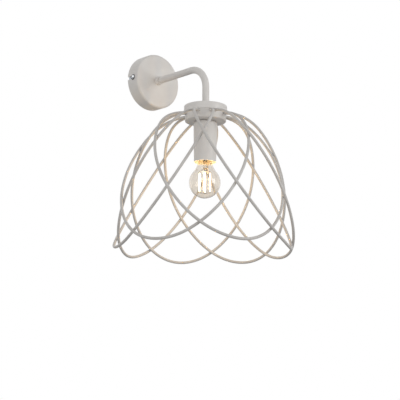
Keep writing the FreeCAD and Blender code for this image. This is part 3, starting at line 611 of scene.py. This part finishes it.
def rounded_bar(shape, centre, low, high, radius, flat, end_steps=4):
    """Adds an upright bar with rounded ends; flat squeezes it along Y."""
    tip = 0.05 * radius
    levels = []
    for i in range(end_steps + 1):
        a = math.pi / 2 * i / end_steps
        levels.append((max(radius * math.sin(a), tip), low + radius - radius * math.cos(a)))
    levels += [(r, low + high - z) for r, z in reversed(levels)]
    join_rings(shape, [[shape.verts.new((centre.x + r * math.cos(a),
                                         centre.y + flat * r * math.sin(a), z))
                        for a in round_angles(12)] for r, z in levels])


coats = bmesh.new()
tabs = bmesh.new()
for i in range(4):
    angle = math.radians(90 * i + 45)
    foot = lamp_axis + Vector((math.cos(angle), math.sin(angle), 0)) * strip_circle
    rounded_bar(coats, foot, strip_low.z + tab_length, strip_high.z - tab_length,
                strip_radius, flat=1.0)
    for end in (strip_low.z + tab_length / 2, strip_high.z - tab_length / 2):
        rounded_bar(tabs, foot, end - tab_length / 2, end + tab_length, tab_radius, flat=0.5)
for name, shape, material, slot in (
        ("phosphor_strips", coats, phosphor, "filament_coating"),
        ("strip_tabs", tabs, metals["molybdenum_wire"], "filament_wire")):
    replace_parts(place_piece(name, shape, material, "bulb"), "bulb_filaments")

# %% [markdown]
# ## Light from the bulb
#
# Light strips this thin are hard for the renderer to find, and their glow would be
# speckled. A small warm lamp low in the globe carries most of the same light. It rides with
# the bulb and can't be seen through the glass. Its light gets out because the glass casts no
# shadow.

# %% Bulb light
glow_drop = 8 * millimetre
glow_data = bpy.data.lights.new("bulb_light", "POINT")
glow_data.shadow_soft_size = 9 * millimetre
glow_data.color = linear("#FFD592")[:3]
glow_data.energy = 0.32
glow_lamp = bpy.data.objects.new("bulb_light", glow_data)
glow_lamp.location = globe_middle - Vector((0, 0, glow_drop))
glow_lamp.visible_transmission = False
glow_lamp.visible_glossy = False
bpy.context.scene.collection.objects.link(glow_lamp)
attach(glow_lamp, "bulb")

# %% [markdown]
# ## Welds
#
# Each wire ends on the hoop in a small weld, which the paint covers. It shows as a soft
# fillet round the wire. A short flared collar makes it, a little uneven because it was
# made by hand, with its wide side let into the hoop.

# %% Weld fillets
hoop_radius = 29.4 * millimetre
root_height = -73.2 * millimetre
root_turn = 85.4           # degrees each way from a loop's middle
loop_spacing = 45          # degrees
wire_slope = -0.1          # how the wire leaves the hoop, down over out
widest_of_wire = 2.1       # millimetres; only what is wider than this is uneven
unevenness = 0.10
lump_scale = 1.5
next_lumps = 7.0

roots = [math.radians(loop_spacing * (k + 0.5) + side * root_turn)
         for k in range(8) for side in (-1, 1)]
# Radius round the wire and distance along it, in millimetres.
flare = [(1.9, -0.8), (3.1, -0.7), (3.0, 0.0), (2.5, 0.35), (2.2, 0.8), (2.06, 1.4),
         (1.9, 1.5)]
weld = bmesh.new()
for n, root in enumerate(roots):
    out = Vector((math.cos(root), math.sin(root), wire_slope)).normalized()
    sideways = Vector((-math.sin(root), math.cos(root), 0))
    upright = out.cross(sideways)
    start = lamp_axis + Vector((hoop_radius * math.cos(root), hoop_radius * math.sin(root),
                                root_height))
    rings = []
    for radius, along in flare:
        ring = []
        for a in round_angles(20):
            lump = noise.noise(Vector((math.cos(a) * lump_scale, math.sin(a) * lump_scale,
                                       next_lumps * n)))
            r = radius * (1 + unevenness * lump * (radius > widest_of_wire))
            ring.append(weld.verts.new(start + out * along * millimetre + (
                sideways * math.cos(a) + upright * math.sin(a)) * r * millimetre))
        rings.append(ring)
    join_rings(weld, rings, closed=True)
bmesh.ops.recalc_face_normals(weld, faces=weld.faces)
# The welds take the same darker paint as the wires: painted shade.
place_piece("weld_fillets", weld, paints["shaded_wire_powder_coat"],
            "light")
print("welds:", len(roots))

# %% [markdown]
# ## Contact spring
#
# A small coil spring of round wire pushes the lampholder's centre contact on to the bulb. It
# shortens as the contact is pressed in. Here it is one unbroken coil, and its upper end
# seats against the terminal.

# %% Coil spring
coil_low, coil_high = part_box("contact_spring")
coil_height = coil_high.z - coil_low.z
coil_wire_radius = 0.2 * millimetre
coil_radius = 1.8 * millimetre
coil_turns = 5
steps_per_turn = 32
coil_steps = coil_turns * steps_per_turn

rise = coil_height - 2 * coil_wire_radius
coil = bmesh.new()
rings = []
for n in range(coil_steps + 1):
    a = 2 * math.pi * n / steps_per_turn
    outward = Vector((math.cos(a), math.sin(a), 0))
    height = coil_low.z + coil_wire_radius + rise * n / coil_steps
    wire_middle = lamp_axis + outward * coil_radius + Vector((0, 0, height))
    rings.append([coil.verts.new(wire_middle + (
        outward * math.cos(b) + Vector((0, 0, math.sin(b)))) * coil_wire_radius)
        for b in round_angles(10)])
join_rings(coil, rings)
bmesh.ops.recalc_face_normals(coil, faces=coil.faces)

# %% Place the spring
spring_slot = "zinc_plated_steel"
spring = place_piece("coiled_contact_spring", coil, finish_of_slot[spring_slot],
                     "light")
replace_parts(spring, "contact_spring")
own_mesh(spring)
print("spring: %.1f mm long, %d turns" % (coil_height * 1000, coil_turns))

# %% [markdown]
# ## Size
#
# The dressed model's box and the CAD model's box are both printed. The dressed model
# has to stay in the CAD model's box.

# %% Print the sizes
visual_box = [list(corner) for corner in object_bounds()]
for name, box in (("cad", cad_box), ("visual", visual_box)):
    print(name, [[round(v * 1000, 1) for v in corner] for corner in box])
